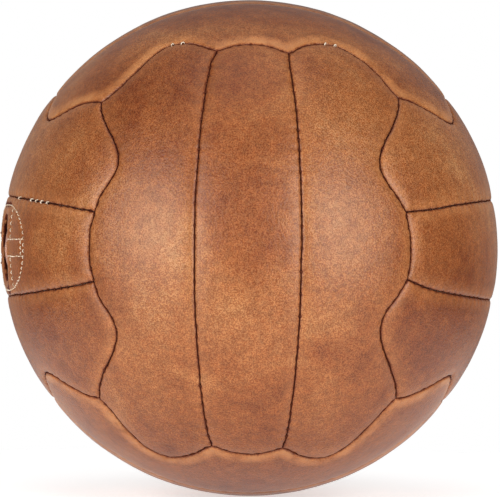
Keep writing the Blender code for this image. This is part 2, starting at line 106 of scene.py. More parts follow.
# ---- The leather's edge at a seam ----
SEAM_GAP = 0.4 * MM
LEATHER = 2.2 * MM
SKIVED = 0.35  # share of the leather's thickness that is left at a turned edge
ROLL_WIDTH = 2.0 * MM  # the edge turns in over this distance from the seam
ROLL_DEPTH = 1.15 * MM
SINK = 1.05 * MM  # and the panel sinks a little towards it from further off
SINK_REACH = 3.6 * MM
FLANGE_DEPTHS = (2.9 * MM, 4.6 * MM, 7.0 * MM)
SEAM_SAMPLE = 0.4 * MM  # spacing of the points that a seam is measured by
ROUGH_POINTS = 400  # points that a line's length is first measured with
STATION_TOLERANCE = 1e-6
STITCH_PITCH = 6.0 * MM
PUCKER = 0.70 * MM  # how deep a stitch pulls the edge down
PUCKER_REACH = 2.6 * MM
PULL_RANGE = (0.35, 1.0)  # how hard single stitches are pulled
STITCH_SHADE_REACH = 0.70 * MM  # how far the seam's painted shade reaches out at a stitch
BITE_SHARPNESS = 8
CREASE = 0.30 * MM  # the deepest crease that runs from a stitch into the panel
CREASE_REACH = 6.5 * MM
CREASE_LEAN = 0.35  # how far a crease may lean, per distance from the seam
CREASE_WIDTH = 0.16  # in stitches
CREASE_BEND = 14.0  # degrees that a seam may turn within two stitches of a crease
WIGGLE = 0.32 * MM  # how far a seam wanders from side to side
WIGGLE_SIZE = 7.0 * MM
SWELL = 0.30 * MM  # slow hills and hollows of a packed panel
SWELL_SIZE = 34.0 * MM
RIPPLE = 0.10 * MM
RIPPLE_SIZE = 9.0 * MM
CORNER_RIPPLE = 0.20 * MM  # finer wrinkles where three panels meet
CORNER_REACH = 10.0 * MM
CORNER_RIPPLE_SIZE = 4.5 * MM
SWELL_SEED, RIPPLE_SEED, CORNER_SEED = 3.0, 17.0, 29.0

# ---- Mesh density ----
FIRST_STEP = 0.40 * MM
STEP_GROWTH = 1.28
CELL_ALONG = 1.25 * MM
CELL_ACROSS = 2.6 * MM
MOUTH_CELL = 1.0 * MM
STRIP_LENGTH = 230.0 * MM
STRIP_WIDTH = 60.0 * MM

# ---- The mouth ----
MOUTH_FORWARD = 13.3  # degrees from the middle of the left side towards the front
MOUTH_UP = -0.35
SLOT_AXES = (9.0 * MM, 18.5 * MM)  # half sizes: along the strip, across the strip
OVAL_AXES = (37.0 * MM, 23.9 * MM)
PATCH_AXES = (38.5 * MM, 23.6 * MM)
ROUNDNESS = 2.3  # exponent of the oval's and the slot's outline
PATCH_DEPTH = 4.1 * MM
PATCH_THICKNESS = 1.6 * MM
TONGUE_AXES = (18.0 * MM, 23.0 * MM)
TONGUE_PAD_AXES = (4.6 * MM, 16.0 * MM)
TONGUE_DEPTH = 6.3 * MM
TONGUE_THICKNESS = 1.6 * MM
TONGUE_CROWN_DEPTH = 0.5 * MM
TONGUE_CROWN = 2.4 * MM  # how far the tongue's sides lie below its middle
BAR_HALF_GAP = 4.7 * MM
BAR_START = 11.2 * MM
SIDE_LINE = 16.0 * MM
MOUTH_STITCH_PITCH = 3.4 * MM
MOUTH_THREAD_RADIUS = 0.32 * MM
MOUTH_GROOVE = 0.45 * MM  # how deep the mouth's stitching sinks into the leather
MOUTH_GROOVE_HALF = 1.1 * MM
LIP_ROLL = 0.9 * MM
LIP_REACH = 0.9 * MM
LIP_BEAD = 0.35 * MM  # a low bead round the slot
LIP_BEAD_AT = 3.0 * MM
LIP_BEAD_HALF = 2.0 * MM
OVAL_RISE = 0.35 * MM  # the leather stands higher inside the oval, over the patch
OVAL_SOFTNESS = 0.03
SLOT_HOLE = 1.22  # the faces removed for the slot, as a share of its size
SLOT_RINGS = (1.14, 1.08, 1.045, 1.02, 1.0)
LINE_POINTS = 60  # points along a stitched line
DOUBLE_LINE_GAP = 2.9 * MM
TONGUE_RINGS = 16
TONGUE_SIDE_RINGS = 8
TONGUE_SIDE_FLARE = 1.2 * MM
TONGUE_FOOT_RINGS = 4
TONGUE_SIDE_SHADE = 1.9  # how much darker the tongue's sides are painted than its middle: painted shade on the sides, painted highlight along the middle
TONGUE_WRINKLE = 0.35 * MM
PATCH_RINGS = 12
PATCH_WRINKLE = 0.1 * MM
WRINKLE_SIZE = 5.0 * MM
SHELL_SEGMENTS = 120
WELD = 1e-6

SEAM_THREAD_RADIUS = 0.36 * MM

UP = 1
DOWN = -1
FACES = (
    ("front", 0, -1), ("back", 0, 1),
    ("bottom", 1, -1), ("top", 1, 1),
    ("left", 2, -1), ("right", 2, 1),
)
# The strips of a face, by the sign of their place across it.
STRIPS = (
    {-1: "left", 0: "middle", 1: "right"},
    {-1: "front", 0: "middle", 1: "rear"},
    {-1: "lower", 0: "middle", 1: "upper"},
)
MOUTH_PANEL = "left_middle"

# Where the hide is painted paler or redder and darker: (x, y, z) of a place, its size in degrees,
# and how much paler (above 0) or redder and darker (below 0) the leather is painted there.
# It is partly the hide's own tone and partly painted light: painted highlights at the front's
# left and right and along the top's edge above its seam with the front, and a darker top and
# bottom, partly as painted shade.
TONES_AND_PAINTED_LIGHT = (
    ((0.00, -0.72, 0.70), 14.0, 0.20),
    ((0.00, -0.90, 0.42), 12.0, -0.15),
    ((0.00, -0.98, 0.13), 11.0, -0.75),
    ((-0.10, -0.97, -0.22), 9.0, 0.35),
    ((0.05, -0.98, -0.25), 9.0, 0.25),
    ((-0.36, -0.93, 0.05), 14.0, 0.45),
    ((-0.26, -0.96, 0.04), 7.0, 0.40),
    ((0.33, -0.94, 0.06), 12.0, 0.60),
    ((-0.34, -0.70, 0.62), 13.0, -0.55),
    ((0.32, -0.75, 0.55), 14.0, 0.35),
    ((0.36, -0.80, 0.42), 10.0, 0.30),
    ((-0.75, -0.50, 0.42), 16.0, 0.10),
    ((0.78, -0.50, 0.40), 16.0, 0.45),
    ((0.76, -0.55, -0.34), 17.0, -1.00),
    ((0.80, -0.60, 0.02), 12.0, -0.25),
    ((0.98, -0.15, 0.05), 14.0, 0.35),
    ((-0.90, -0.20, 0.35), 18.0, 0.50),
    ((-0.40, -0.72, -0.56), 12.0, 0.30),
    ((-0.78, -0.50, -0.35), 17.0, -0.75),
    ((0.05, -0.30, 0.95), 30.0, -0.90),
    ((-0.42, -0.44, 0.79), 8.0, 0.60),
    ((-0.22, -0.50, 0.84), 8.0, 0.75),
    ((0.00, -0.52, 0.85), 8.0, 0.75),
    ((0.22, -0.50, 0.84), 8.0, 0.75),
    ((0.42, -0.44, 0.79), 8.0, 0.60),
    ((0.00, -0.35, -0.94), 26.0, -0.60),
)


def unit(vectors):
    return vectors / np.linalg.norm(vectors, axis=-1, keepdims=True)


def degrees_from(directions, centre):
    """Angle of each direction from a centre, in degrees."""
    return np.degrees(np.arccos(np.clip(directions @ unit(np.array(centre)), -1, 1)))


def drifted(directions):
    """Pull directions off the true pattern, a little and smoothly."""
    moved = directions.copy()
    for centre, pull, reach in DRIFTS:
        fade = np.exp(-(degrees_from(directions, centre) / reach) ** 2)
        moved += fade[..., None] * np.radians(pull)
    return unit(moved)


def hermite(x, start, end):
    """Cubic from one (x, y, slope) to the next."""
    x0, y0, s0 = start
    x1, y1, s1 = end
    span = x1 - x0
    t = (x - x0) / span
    rise = t * t * (3 - 2 * t)
    return y0 + (y1 - y0) * rise + span * (s0 * t * (1 - t) ** 2 - s1 * t * t * (1 - t))


def edge_aside(along):
    """Angle aside of a cube-edge seam, at angles along it."""
    distance = np.minimum(np.abs(along), CORNER_ALONG)
    within = [distance <= end[0] for _, end in EDGE_ARCS]
    return np.select(within, [hermite(distance, *arc) for arc in EDGE_ARCS], CORNER_ASIDE)


def on_face(axis, side, across, along, aside):
    """Directions of points on a face: axis 0 is front and back, 1 top and bottom, 2 left and right."""
    along = np.radians(along)
    aside = np.radians(aside)
    local = np.stack((
        across * np.sin(aside) * np.cos(along),
        side * np.cos(aside) * np.cos(along),
        np.sin(along),
    ), axis=-1)
    return np.roll(local, axis, axis=-1)


def edge_seam(axis, side, across, along):
    """The seam along a cube edge, on the face whose strips run beside it."""
    return drifted(on_face(axis, side, across, along, edge_aside(along)))


def strip_end(axis):
    """Where a strip seam ends, as (along, aside)."""
    lateral, normal, strip = np.roll(
        on_face((axis + 1) % 3, UP, UP, JUNCTION_ALONG, JUNCTION_ASIDE), -axis)
    return math.degrees(math.asin(strip)), math.degrees(math.atan2(lateral, normal))


def strip_seam(axis, side, across, share):
    """The seam between a middle and an outer strip, at shares -1 to 1 of its length."""
    end_along, end_aside = strip_end(axis)
    aside = STRIP_SEAM_ASIDE + (end_aside - STRIP_SEAM_ASIDE) * share ** 2
    return drifted(on_face(axis, side, across, share * end_along, aside))


class Seam:
    """A sewn seam: its line on the ball, and the length along it from its middle."""

    def __init__(self, number, line_at, low, high):
        self.number = number
        self.line_at = line_at
        rough = line_at(np.linspace(low, high, ROUGH_POINTS))
        length = np.linalg.norm(np.diff(rough, axis=0), axis=1).sum() * BALL_RADIUS
        self.stations = np.linspace(low, high, int(length / SEAM_SAMPLE))
        self.points = line_at(self.stations)
        self.tangents = unit(np.gradient(self.points, axis=0))
        steps = np.linalg.norm(np.diff(self.points, axis=0), axis=1) * BALL_RADIUS
        lengths = np.concatenate(([0.0], np.cumsum(steps)))
        self.positions = lengths - np.interp(0.0, self.stations, lengths)

    def part(self, low, high):
        """The points, tangents and positions between two stations."""
        kept = (self.stations >= low - STATION_TOLERANCE) & (self.stations <= high + STATION_TOLERANCE)
        return self.points[kept], self.tangents[kept], self.positions[kept]

    def place(self, position):
        """Direction and tangent at a position along the seam."""
        point = [np.interp(position, self.positions, self.points[:, k]) for k in range(3)]
        tangent = [np.interp(position, self.positions, self.tangents[:, k]) for k in range(3)]
        return unit(np.array(point)), unit(np.array(tangent))


def all_seams():
    """Every seam, by its kind and its place."""
    seams = {}
    for _, axis, side in FACES:
        for across in (DOWN, UP):
            place = (axis, side, across)
            seams["edge", *place] = Seam(
                len(seams), lambda along, place=place: edge_seam(*place, along),
                -CORNER_ALONG, CORNER_ALONG)
            seams["strip", *place] = Seam(
                len(seams), lambda share, place=place: strip_seam(*place, share), -1.0, 1.0)
    return seams


SEAMS = all_seams()
STITCH_MIDDLE = 40  # place of a seam's middle stitch in the tables below
CHANCE_SEED = 11
chance = np.random.default_rng(CHANCE_SEED)
stitch_table = (len(SEAMS), 2 * STITCH_MIDDLE + 1)
PULLS = chance.uniform(*PULL_RANGE, stitch_table)
CREASES = chance.uniform(0.0, 1.0, stitch_table) ** 2
LEANS = chance.uniform(-CREASE_LEAN, CREASE_LEAN, stitch_table)
# No crease starts where a seam turns sharply.
for seam in SEAMS.values():
    for stitch in range(-STITCH_MIDDLE, STITCH_MIDDLE + 1):
        _, before = seam.place((stitch - 1) * STITCH_PITCH)
        _, after = seam.place((stitch + 1) * STITCH_PITCH)
        if math.degrees(math.acos(min(1.0, before @ after))) > CREASE_BEND:
            CREASES[seam.number, stitch + STITCH_MIDDLE] = 0.0


# ---- The shape of a panel ----

def graded(length, widest):
    """Shares 0 to 1 of a length, close together at both ends."""
    steps = [FIRST_STEP]
    while sum(steps) < length / 2:
        steps.append(min(steps[-1] * STEP_GROWTH, widest))
    half = np.cumsum([0.0] + steps)
    half *= 0.5 / half[-1]
    return np.concatenate((half, 1 - half[-2::-1]))


def spread(shares, stations):
    """Stations at shares 0 to 1 of a list of stations."""
    return np.interp(shares, np.linspace(0, 1, len(stations)), stations)


class Panel:
    """A panel's outline on the ball, and the seams round it."""

    def __init__(self, axis, side, across, u, v):
        neighbour = (axis + 1) % 3
        whole = [-along for along in HALF_STATIONS[:0:-1]] + list(HALF_STATIONS)
        if across == 0:
            ends_at = spread(u, (-JUNCTION_ALONG, JUNCTION_ALONG))
            near = SEAMS["strip", axis, side, DOWN]
            far = SEAMS["strip", axis, side, UP]
            far_at = spread(v, (-1.0, 1.0))
        else:
            ends_at = across * spread(u, CORNER_STATIONS)
            near = SEAMS["strip", axis, side, across]
            far = SEAMS["edge", axis, side, across]
            far_at = spread(v, whole)
        low = SEAMS["edge", neighbour, DOWN, side]
        high = SEAMS["edge", neighbour, UP, side]
        self.u, self.v = u, v
        self.sides = (
            low.line_at(ends_at), high.line_at(ends_at),
            near.line_at(spread(v, (-1.0, 1.0))), far.line_at(far_at),
        )
        span = (min(ends_at), max(ends_at))
        border = (
            (low, low.part(*span)), (high, high.part(*span)),
            (near, near.part(-1.0, 1.0)), (far, far.part(far.stations[0], far.stations[-1])),
        )
        self.points, self.tangents, self.positions = (
            np.concatenate([measured[k] for _, measured in border]) for k in range(3))
        self.seams = np.concatenate(
            [np.full(len(measured[0]), seam.number) for seam, measured in border])
        low_side, high_side, _, _ = self.sides
        self.corners = (low_side[0], low_side[-1], high_side[0], high_side[-1])

    def nearest_seam(self, directions):
        """Distance to the nearest seam, the position along it, and its number."""
        nearest = np.argmax(directions @ self.points.T, axis=1)
        offset = (directions - self.points[nearest]) * BALL_RADIUS
        tangent = self.tangents[nearest]
        slide = np.clip((offset * tangent).sum(axis=1), -SEAM_SAMPLE, SEAM_SAMPLE)
        distance = np.linalg.norm(offset - slide[:, None] * tangent, axis=1)
        return distance, self.positions[nearest] + slide, self.seams[nearest]

    def depth(self, directions):
        """How far the leather lies under the ball's full radius."""
        distance, position, seam = self.nearest_seam(directions)
        turned = np.clip(1 - distance / ROLL_WIDTH, 0, 1)
        depth = ROLL_DEPTH * (1 - np.sqrt(1 - turned ** 2)) + SINK * np.exp(-distance / SINK_REACH)
        stitch = np.round(position / STITCH_PITCH).astype(int)
        entry = (seam, stitch + STITCH_MIDDLE)
        off = position / STITCH_PITCH - stitch
        held = np.cos(np.pi * off) ** 2
        depth += PUCKER * PULLS[entry] * (held - 0.5) * np.exp(-distance / PUCKER_REACH)
        leaning = off + LEANS[entry] * distance / STITCH_PITCH
        line = np.exp(-(leaning / CREASE_WIDTH) ** 2)
        depth += CREASE * CREASES[entry] * line * np.exp(-distance / CREASE_REACH)
        return depth - self.unevenness(directions)

    def unevenness(self, directions):
        """Hills and hollows of the filling, and the wrinkles at the corners."""
        near_corner = sum(
            np.exp(-(degrees_from(directions, corner) / math.degrees(CORNER_REACH / BALL_RADIUS)) ** 2)
            for corner in self.corners)
        height = SWELL * noise_over(directions, SWELL_SIZE, SWELL_SEED)
        height += RIPPLE * noise_over(directions, RIPPLE_SIZE, RIPPLE_SEED)
        wrinkles = noise_over(directions, CORNER_RIPPLE_SIZE, CORNER_SEED)
        return height + CORNER_RIPPLE * near_corner * wrinkles


def noise_over(directions, size, seed):
    """Smooth noise, -1 to 1, with features of a given size on the ball."""
    scale = BALL_RADIUS / size
    return np.array([noise.noise(Vector(d) * scale + Vector((seed, 0.0, 0.0))) for d in directions])


def wandered(directions):
    """Move directions from side to side by the wandering of hand sewing."""
    scale = BALL_RADIUS / WIGGLE_SIZE
    step = WIGGLE / BALL_RADIUS
    moved = [Vector(d) + step * noise.noise_vector(Vector(d) * scale) for d in directions]
    return unit(np.array(moved))


def inward(line, middle):
    """Directions over the sphere, square to a seam, towards the panel's middle."""
    square = unit(np.cross(line, np.gradient(line, axis=0)))
    centre = len(line) // 2
    if np.dot(square[centre], middle - line[centre]) < 0:
        square = -square
    return square


def inset(sides, distance):
    """Move a panel's sides inward over the sphere, with mitred corners."""
    low, high, near, far = sides
    middle = unit(near.mean(axis=0) + far.mean(axis=0))
    low_in, high_in, near_in, far_in = (inward(line, middle) for line in sides)
    for ends, longs, end_at, long_at in (
        (low_in, near_in, 0, 0), (low_in, far_in, -1, 0),
        (high_in, near_in, 0, -1), (high_in, far_in, -1, -1),
    ):
        first = ends[end_at]
        second = longs[long_at]
        mitre = (first + second) / (1 + np.dot(first, second))
        ends[end_at] = mitre
        longs[long_at] = mitre
    step = distance / BALL_RADIUS
    moved = ((low, low_in), (high, high_in), (near, near_in), (far, far_in))
    return tuple(unit(line + step * towards) for line, towards in moved)


def coons(sides, u, v):
    """Fill four sides with a smooth patch; the bends of its ends die out quickly along it."""
    low, high, near, far = sides
    share = u[:, None]
    low_bend = low - (1 - share) * low[0] - share * low[-1]
    high_bend = high - (1 - share) * high[0] - share * high[-1]
    across = (1 - share[..., None]) * near + share[..., None] * far
    along = v[:, None]
    return unit(across + (1 - along) ** 3 * low_bend[:, None] + along ** 3 * high_bend[:, None])


def tone_and_painted_light_over(directions):
    """How pale (above 0) or red and dark (below 0) the hide is painted: its own tone with painted
    highlights and shade.
    """
    tone_and_painted_light = np.zeros(len(directions))
    for centre, size, amount in TONES_AND_PAINTED_LIGHT:
        tone_and_painted_light += amount * np.exp(-(degrees_from(directions, centre) / size) ** 2)
    return tone_and_painted_light


# ---- Scene helpers ----

def add_object(name, data, materials):
    """Link a piece, riding on the ball, with its materials."""
    piece = bpy.data.objects.new(name, data)
    bpy.context.scene.collection.objects.link(piece)
    for material in materials:
        data.materials.append(material)
    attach(piece, "root")
    return piece


def add_solidify(piece, thickness, group=None):
    """Give an open surface its thickness, inward from the surface."""
    solidify = piece.modifiers.new("Thickness", "SOLIDIFY")
    solidify.thickness = thickness
    solidify.offset = -1.0
    if group:
        solidify.vertex_group = group
        solidify.thickness_vertex_group = SKIVED


def set_attribute(mesh, name, values):
    """Store one number for each vertex, for the material to read."""
    layer = mesh.attributes.new(name, "FLOAT", "POINT")
    layer.data.foreach_set("value", np.asarray(values, dtype=np.float32))


def outward_faces(bm):
    """Turn all faces of an open surface away from the ball's centre."""
    bm.normal_update()
    bmesh.ops.recalc_face_normals(bm, faces=bm.faces)
    outside = sum(face.normal.dot(face.calc_center_median()) * face.calc_area() for face in bm.faces)
    if outside < 0:
        bmesh.ops.reverse_faces(bm, faces=bm.faces)


def extrude_rim(bm, rim):
    """Extrude a rim of edges; returns the pairs of old and new vertices, and the new rim."""
    olds = {vert for edge in rim for vert in edge.verts}
    made = bmesh.ops.extrude_edge_only(bm, edges=rim)["geom"]
    news = {item for item in made if isinstance(item, bmesh.types.BMVert)}
    pairs = []
    for new in news:
        old = next(e.other_vert(new) for e in new.link_edges if e.other_vert(new) in olds)
        pairs.append((old, new))
    new_rim = [
        item for item in made
        if isinstance(item, bmesh.types.BMEdge) and news.issuperset(item.verts)
    ]
    return pairs, new_rim


# ---- Panels ----

def panel_mesh(name, panel):
    """A panel's mesh: its face, the mouth's slot if it has one, and its turned edges."""
    columns, rows = len(panel.u), len(panel.v)
    patch = coons(inset(panel.sides, SEAM_GAP / 2), panel.u, panel.v)
    bm = bmesh.new()
    bmesh.ops.create_grid(bm, x_segments=columns - 1, y_segments=rows - 1, size=0.5)
    for vert in bm.verts:
        column = round((vert.co.x + 0.5) * (columns - 1))
        row = round((vert.co.y + 0.5) * (rows - 1))
        vert.co = patch[column, row]
    border = [edge for edge in bm.edges if edge.is_boundary]
    if name == MOUTH_PANEL:
        open_slot(bm)
    bm.verts.index_update()
    directions = np.array([vert.co[:] for vert in bm.verts])
    distance, position, seam = panel.nearest_seam(directions)
    depth = panel.depth(directions)
    if name == MOUTH_PANEL:
        depth += mouth_depth(directions)
    places = wandered(directions) * (BALL_RADIUS - depth)[:, None]
    for vert, place in zip(bm.verts, places):
        vert.co = place
    rim = border
    for flange in FLANGE_DEPTHS:
        pairs, rim = extrude_rim(bm, rim)
        for _, vert in pairs:
            vert.co = vert.co.normalized() * (BALL_RADIUS - flange)
    outward_faces(bm)
    mesh = bpy.data.meshes.new(f"{name}_panel")
    bm.to_mesh(mesh)
    bm.free()
    mesh.shade_smooth()
    flanges = np.zeros(len(mesh.vertices) - len(distance))
    set_attribute(mesh, "seam_distance", np.concatenate((distance, flanges)))
    # The seam's painted shade reaches further out at each stitch's dent.
    stitch = np.round(position / STITCH_PITCH).astype(int)
    shade_bite = STITCH_SHADE_REACH * PULLS[seam, stitch + STITCH_MIDDLE]
    shade_bite *= np.cos(np.pi * (position / STITCH_PITCH - stitch)) ** BITE_SHARPNESS
    distance = np.maximum(distance - shade_bite, 0)
    # Round the slot the lip gets the same painted shade as the seams.
    if name == MOUTH_PANEL:
        to_slot = (rounded(from_mouth(directions), SLOT_AXES) - 1) * SLOT_AXES[0]
        at_front = directions @ OUTWARD > 0
        distance = np.where(at_front, np.minimum(distance, np.maximum(to_slot, 0)), distance)
    set_attribute(mesh, "edge_distance", np.concatenate((distance, flanges)))
    places = np.array([vert.co[:] for vert in mesh.vertices])
    # The tone attribute carries the hide's own tone together with painted highlights and painted
    # shade.
    set_attribute(mesh, "tone_and_painted_light", tone_and_painted_light_over(unit(places)))
    return mesh


def make_panel(name, axis, side, across, material):
    u = graded(STRIP_WIDTH, MOUTH_CELL if name == MOUTH_PANEL else CELL_ACROSS)
    v = graded(STRIP_LENGTH, MOUTH_CELL if name == MOUTH_PANEL else CELL_ALONG)
    mesh = panel_mesh(name, Panel(axis, side, across, u, v))
    piece = add_object(f"leather_{name}", mesh, (material,))
    full = piece.vertex_groups.new(name="full_thickness")
    distances = np.zeros(len(mesh.vertices), dtype=np.float32)
    mesh.attributes["seam_distance"].data.foreach_get("value", distances)
    weights = np.clip(distances / ROLL_WIDTH - 1, 0, 1)
    for index in np.flatnonzero(weights):
        full.add([int(index)], float(weights[index]), "REPLACE")
    add_solidify(piece, LEATHER, "full_thickness")
    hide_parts(f"{name}_panel")
    return piece


# ---- The mouth ----

def mouth_axes():
    """Unit vectors at the mouth: outward, forward along the strip, and up across it."""
    forward_angle = math.radians(MOUTH_FORWARD)
    up_angle = math.radians(MOUTH_UP)
    outward = np.array((
        -math.cos(forward_angle) * math.cos(up_angle),
        -math.sin(forward_angle) * math.cos(up_angle),
        math.sin(up_angle),
    ))
    forward = unit(np.cross((0.0, 0.0, 1.0), outward))
    upward = np.cross(outward, forward)
    return outward, forward, upward


OUTWARD, FORWARD, UPWARD = mouth_axes()


def at_mouth(by):
    """Directions at (forward, up) distances over the surface from the mouth's middle."""
    by = np.asarray(by, dtype=float)
    distance = np.linalg.norm(by, axis=-1, keepdims=True)
    heading = by / np.maximum(distance, 1e-9)
    angle = distance / BALL_RADIUS
    aside = heading[..., :1] * FORWARD + heading[..., 1:] * UPWARD
    return OUTWARD * np.cos(angle) + aside * np.sin(angle)


def from_mouth(directions):
    """The (forward, up) distances of directions from the mouth's middle."""
    angle = np.arccos(np.clip(directions @ OUTWARD, -1, 1))
    aside = np.stack((directions @ FORWARD, directions @ UPWARD), axis=-1)
    length = np.maximum(np.linalg.norm(aside, axis=-1), 1e-9)
    return aside * (angle * BALL_RADIUS / length)[..., None]


def rounded(by, half_sizes):
    """1 on a rounded oval of these half sizes, less inside it."""
    shares = np.abs(by / np.array(half_sizes)) ** ROUNDNESS
    return shares.sum(axis=-1) ** (1 / ROUNDNESS)


def oval_point(turn, half_sizes):
    """A point on a rounded oval, towards an angle from its middle."""
    heading = np.stack((np.cos(turn), np.sin(turn)), axis=-1)
    return heading / rounded(heading, half_sizes)[..., None]


def open_slot(bm):
    """Cut the mouth's slot, with rings of vertices close together at its edge."""
    directions = unit(np.array([vert.co[:] for vert in bm.verts]))
    inside = rounded(from_mouth(directions), SLOT_AXES) < SLOT_HOLE
    bm.verts.ensure_lookup_table()
    centre_side = directions @ OUTWARD > 0
    removed = [
        face for face in bm.faces
        if all(inside[v.index] and centre_side[v.index] for v in face.verts)
    ]
    rim = {edge for face in removed for edge in face.edges}
    gone = set(removed)
    rim = [edge for edge in rim if not all(face in gone for face in edge.link_faces)]
    bmesh.ops.delete(bm, geom=removed, context="FACES")
    for scale in SLOT_RINGS:
        pairs, rim = extrude_rim(bm, rim)
        for old, new in pairs:
            by = from_mouth(np.array(old.co[:])[None])[0]
            turn = math.atan2(by[1], by[0])
            new.co = at_mouth(oval_point(turn, SLOT_AXES) * scale)


def straight_line(start, end):
    return np.linspace(start, end, LINE_POINTS)


def mouth_lines():
    """The stitched lines round the mouth, as (forward, up) points: the oval, bars and cross lines."""
    turns = np.linspace(0, 2 * math.pi, ROUGH_POINTS)
    lines = [oval_point(turns, OVAL_AXES)]
    bar_end = oval_reach(BAR_HALF_GAP, 1)
    cross_end = oval_reach(SIDE_LINE, 0)
    for forward in (DOWN, UP):
        side = []
        for up in (DOWN, UP):
            lines.append(straight_line(
                (forward * BAR_START, up * BAR_HALF_GAP), (forward * bar_end, up * BAR_HALF_GAP)))
            lines.append(straight_line(
                (forward * SIDE_LINE, up * BAR_HALF_GAP), (forward * SIDE_LINE, up * cross_end)))
            side.append((forward * (bar_end - DOUBLE_LINE_GAP), up * BAR_HALF_GAP))
        # The oval's side is sewn twice between the bars.
        lines.append(straight_line(*side))
    return lines


def oval_reach(offset, fixed):
    """How far the oval reaches one way, at an offset the other way."""
    share = (offset / OVAL_AXES[fixed]) ** ROUNDNESS
    return OVAL_AXES[1 - fixed] * (1 - share) ** (1 / ROUNDNESS)


MOUTH_LINES = mouth_lines()


def mouth_depth(directions):
    """The lips' rounding, the grooves of the stitching and the thicker leather inside the oval."""
    by = from_mouth(directions)
    depth = np.zeros(len(by))
    near = np.linalg.norm(by, axis=1) < 2 * OVAL_AXES[0]
    near &= directions @ OUTWARD > 0
    close = by[near]
    to_line = np.full(len(close), 1.0)
    for line in MOUTH_LINES:
        apart = np.linalg.norm(close[:, None] - line[None], axis=2).min(axis=1)
        to_line = np.minimum(to_line, apart)
    sunk = MOUTH_GROOVE * np.exp(-(to_line / MOUTH_GROOVE_HALF) ** 2)
    inside = 1 / (1 + np.exp((rounded(close, OVAL_AXES) - 1) / OVAL_SOFTNESS))
    slot = (rounded(close, SLOT_AXES) - 1) * SLOT_AXES[0]
    lip = LIP_ROLL * np.exp(-np.maximum(slot, 0) / LIP_REACH)
    bead = LIP_BEAD * np.exp(-((slot - LIP_BEAD_AT) / LIP_BEAD_HALF) ** 2)
    raised = OVAL_RISE * inside + bead
    depth[near] = sunk + lip - raised
    return depth


def mouth_shell(name, profile, thickness, material, wrinkle):
    """A shell of rings round the mouth's middle.

    The profile is (half sizes, depth, tone) for each ring, from the middle out. On the tongue the tone
    is a painted highlight along its middle and painted shade down its sides and foot.
    """
    bm = bmesh.new()
    bmesh.ops.create_grid(bm, x_segments=SHELL_SEGMENTS, y_segments=len(profile) - 1, size=0.5)
    tone_and_light_layer = bm.verts.layers.float.new("tone_and_painted_light")
    for vert in bm.verts:
        turn = (vert.co.x + 0.5) * 2 * math.pi
        half_sizes, depth, vert[tone_and_light_layer] = profile[round((vert.co.y + 0.5) * (len(profile) - 1))]
        by = oval_point(np.array(turn), half_sizes) if half_sizes[0] else np.zeros(2)
        place = Vector(at_mouth(by))
        depth -= wrinkle * noise.noise(place * (BALL_RADIUS / WRINKLE_SIZE))
        vert.co = place * (BALL_RADIUS - depth)
    bmesh.ops.remove_doubles(bm, verts=bm.verts, dist=WELD)
    outward_faces(bm)
    mesh = bpy.data.meshes.new(name)
    bm.to_mesh(mesh)
    bm.free()
    mesh.shade_smooth()
    shell = add_object(name, mesh, (material,))
    add_solidify(shell, thickness)
    return shell


def make_tongue(material):
    """The padded tongue that closes the slot, crowned to just under the ball's surface."""
    profile = []
    for share in np.linspace(0.0, 1.0, TONGUE_RINGS):
        crown = TONGUE_CROWN_DEPTH + TONGUE_CROWN * share ** 2
        half_sizes = tuple(share * half for half in TONGUE_PAD_AXES)
        # Pale in the middle and darker down the sides: painted highlight and painted shade.
        profile.append((half_sizes, crown, 1.0 - TONGUE_SIDE_SHADE * share ** 2))
    pad_edge = TONGUE_CROWN_DEPTH + TONGUE_CROWN
    for share in np.linspace(0.15, 1.0, TONGUE_SIDE_RINGS):
        flare = TONGUE_SIDE_FLARE * math.sin(share * math.pi / 2)
        foot = tuple(half + flare for half in TONGUE_PAD_AXES)
        profile.append((foot, pad_edge + (TONGUE_DEPTH - pad_edge) * share ** 1.5, -1.0))
    for share in np.linspace(0.25, 1.0, TONGUE_FOOT_RINGS):
        reach = tuple(a + (b - a) * share for a, b in zip(foot, TONGUE_AXES))
        profile.append((reach, TONGUE_DEPTH, -1.0))
    tongue = mouth_shell("padded_tongue", profile, TONGUE_THICKNESS, material, TONGUE_WRINKLE)
    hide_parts("mouth_tongue")


def make_patch(material):
    """The leather patch behind the mouth, from the slot out to the oval of stitching."""
    profile = [
        (tuple(slot + (full - slot) * share for slot, full in zip(SLOT_AXES, PATCH_AXES)),
         PATCH_DEPTH, -1.0)
        for share in np.linspace(0.0, 1.0, PATCH_RINGS)
    ]
    patch = mouth_shell("patch_behind_mouth", profile, PATCH_THICKNESS, material, PATCH_WRINKLE)
    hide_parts("mouth_patch")


# ---- Threads ----

STITCH_POINTS = 9
SEAM_END = 3.0 * MM  # no stitch lies closer than this to a seam's end
# Of a stitch that crosses a seam: its slant along it, its reach across it and its depth.
SUNK_STITCH = (0.35 * MM, 1.0 * MM, 1.55 * MM)
SHOWN_STITCH = (0.8 * MM, 0.85 * MM, 0.20 * MM)
STITCH_DIVE = 1.5 * MM  # how far its ends go down into the leather
STITCH_ROUNDING = 0.3 * MM
MOUTH_STITCH_MARGIN = 0.13  # share of the pitch left free at each end of a mouth stitch
MOUTH_STITCH_ARCH = 1.25 * MM
MOUTH_STITCH_ARCH_SHAPE = 0.6
MOUTH_STITCH_SUNK = 0.85 * MM

def thread_curve(name, radius, materials):
    curve = bpy.data.curves.new(name, "CURVE")
    for material in materials:
        curve.materials.append(material)
    curve.dimensions = "3D"
    curve.bevel_depth = radius
    curve.bevel_resolution = 1
    curve.use_fill_caps = True
    return curve


def add_stitch(curve, points, material_index=0):
    """One stitch of thread, through a few points."""
    spline = curve.splines.new("POLY")
    spline.points.add(len(points) - 1)
    for point, place in zip(spline.points, points):
        point.co = (*place, 1.0)
    spline.material_index = material_index


